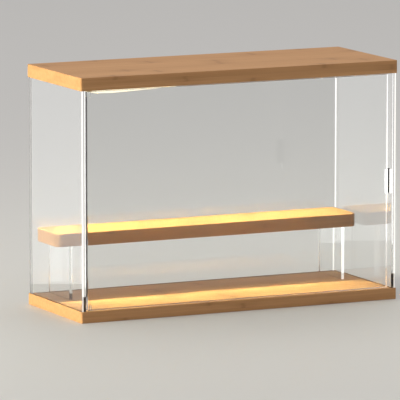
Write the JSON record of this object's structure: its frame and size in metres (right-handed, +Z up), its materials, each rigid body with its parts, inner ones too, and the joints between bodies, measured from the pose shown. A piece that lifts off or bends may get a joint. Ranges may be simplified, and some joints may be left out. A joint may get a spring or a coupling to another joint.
{
  "type": "acrylic display case",
  "caption": "Clear acrylic display case with bamboo base and top, a side-hinged front door with magnetic catch, a bamboo riser shelf on clear legs and a lamp under the top.",
  "frame": {"origin": "centre of the base's underside, on the surface that the case stands on", "axes": "+X to the right along the length, -Y out of the front door, +Z up"},
  "size_m": [0.32, 0.12, 0.223],
  "materials": {
    "bamboo": "satin lacquer over grain along the length",
    "clear_acrylic": "clear, polished edges",
    "light_guide": "opal acrylic, lit",
    "lamp_plastic": "fine matt white moulding",
    "circuit_board": "white solder mask",
    "led": "lit lamp face",
    "steel": "bright steel",
    "brass": "turned",
    "magnet_nickel": "nickel plated",
    "lead_sheath": "matt sheath",
    "inlet_plastic": "moulded"
  },
  "bodies": {
    "case": {"base_board": "bamboo", "top_board": "bamboo", "left_side_panel": "clear_acrylic", "right_side_panel": "clear_acrylic", "back_panel": "clear_acrylic", "bush_bottom": "brass", "bush_top": "brass", "side_magnet": "magnet_nickel", "lamp_housing": "lamp_plastic", "light_guide": "light_guide", "lamp_board": "circuit_board", "lamp_leds": "led", "lamp_screws": "steel", "lamp_lead": "lead_sheath", "power_inlet": "steel", "inlet_tongue": "inlet_plastic"},
    "door": {"front_door": "clear_acrylic", "door_pin_bottom": "clear_acrylic", "door_pin_top": "clear_acrylic", "door_magnet": "magnet_nickel"},
    "riser": {"riser_shelf": "bamboo", "riser_leg_left": "clear_acrylic", "riser_leg_right": "clear_acrylic"}
  },
  "joints": [
    {"name": "door_swing", "type": "hinge", "parent": "case", "child": "door", "pos_m": [-0.1503, -0.057, 0.11075], "axis": [0, 0, -1], "range_deg": [0, 130]},
    {"name": "riser_slide", "type": "slide", "parent": "case", "child": "riser", "axis": [0, -1, 0], "range_m": [0, 0.061]}
  ]
}
